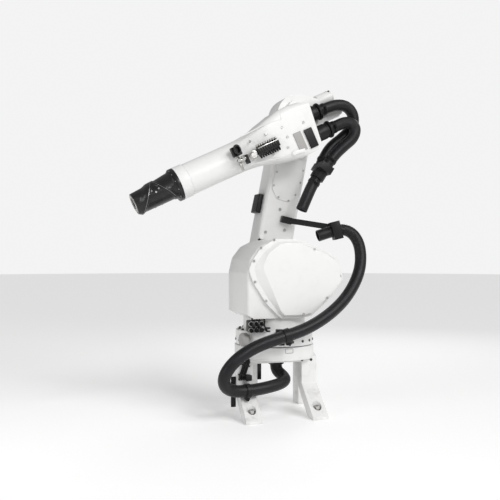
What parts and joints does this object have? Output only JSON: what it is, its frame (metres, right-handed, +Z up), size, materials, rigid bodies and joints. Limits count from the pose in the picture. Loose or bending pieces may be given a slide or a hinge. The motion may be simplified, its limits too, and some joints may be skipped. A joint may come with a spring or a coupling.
{
  "type": "six-axis painting robot arm",
  "caption": "White floor-mounted six-axis painting robot arm with a splayed base, side-mounted lower arm, tapered forearm, black three-roll hollow wrist and black process hoses.",
  "frame": {"origin": "where the first axis meets the floor plane, level with the soles of the feet", "axes": "+X forward along the arm, +Y to the robot's left, +Z up"},
  "size_m": [1.5965, 0.843, 2.1778],
  "materials": {
    "white_paint": "semi-gloss white powder coat over cast aluminium and steel",
    "grey_paint": "satin mid grey paint",
    "black_rubber": "smooth satin black hose sleeve",
    "black_plastic": "black moulded nylon, satin",
    "black_metal": "semi-gloss black anodised and painted metal",
    "bare_steel": "machined steel"
  },
  "bodies": {
    "base": {"base_casting": "white_paint", "front_levelling_bolt": "bare_steel", "rear_levelling_bolt": "bare_steel", "leg_hose_clamp": "black_plastic", "hanging_strap": "black_plastic", "strip_bracket": "black_metal", "base_hose_gland": "black_plastic", "main_hose_lower": "black_rubber"},
    "turret": {"turntable": "white_paint", "shoulder_housing": "white_paint", "side_cover": "white_paint", "shoulder_bearing": "white_paint", "drive_block": "black_plastic", "drive_cap": "grey_paint", "turret_hose_clamp": "black_plastic"},
    "lower_link": {"lower_arm": "white_paint", "arm_side_cover": "white_paint", "arm_front_box": "black_plastic", "arm_stop_boss": "white_paint", "elbow_bearing": "white_paint", "hose_bracket": "black_metal", "bracket_ring": "black_plastic", "main_hose_upper": "black_rubber"},
    "forearm": {"elbow_housing": "white_paint", "forearm_tube": "white_paint", "tube_collar": "white_paint", "upper_hose_gland": "black_plastic", "lower_hose_gland": "black_plastic", "wrist_motor_lower": "white_paint", "wrist_motor_upper": "white_paint", "grey_panel": "grey_paint", "black_panel": "black_plastic", "valve_manifold": "black_plastic", "valve_ball": "bare_steel", "valve_clamp": "black_plastic", "hose_tie_block": "black_plastic", "elbow_hose_one": "black_rubber", "elbow_hose_two": "black_rubber", "hose_coupling": "black_plastic", "drop_hose": "black_rubber"},
    "wrist_root": {"wrist_rear": "black_metal"},
    "wrist_link": {"wrist_middle": "black_metal"},
    "wrist_tip": {"wrist_nose": "black_metal", "tool_ring": "bare_steel"}
  },
  "joints": [
    {"name": "base_turn", "type": "hinge", "parent": "base", "child": "turret", "pos_m": [0, 0, 0.452], "axis": [0, 0, 1], "range_deg": [-160, 160], "deforming": ["main_hose_lower"]},
    {"name": "shoulder_swing", "type": "hinge", "parent": "turret", "child": "lower_link", "pos_m": [-0.028, -0.24, 0.922], "axis": [0, 1, 0], "range_deg": [-25, 75], "deforming": ["main_hose_upper"]},
    {"name": "elbow_swing", "type": "hinge", "parent": "lower_link", "child": "forearm", "pos_m": [-0.26659, -0.23, 2.01629], "axis": [0, -1, 0], "range_deg": [-20, 95]},
    {"name": "wrist_roll", "type": "hinge", "parent": "forearm", "child": "wrist_root", "pos_m": [0.65315, 0, 1.49269], "axis": [0.9056, 0, -0.4242], "range_deg": [-180, 180]},
    {"name": "wrist_bend", "type": "hinge", "parent": "wrist_root", "child": "wrist_link", "pos_m": [0.74189, 0, 1.45112], "axis": [0.4985, 0, -0.8669], "range_deg": [-180, 180]},
    {"name": "wrist_turn", "type": "hinge", "parent": "wrist_link", "child": "wrist_tip", "pos_m": [0.85962, 0, 1.39597], "axis": [0.9851, 0, 0.1719], "range_deg": [-180, 180]}
  ]
}
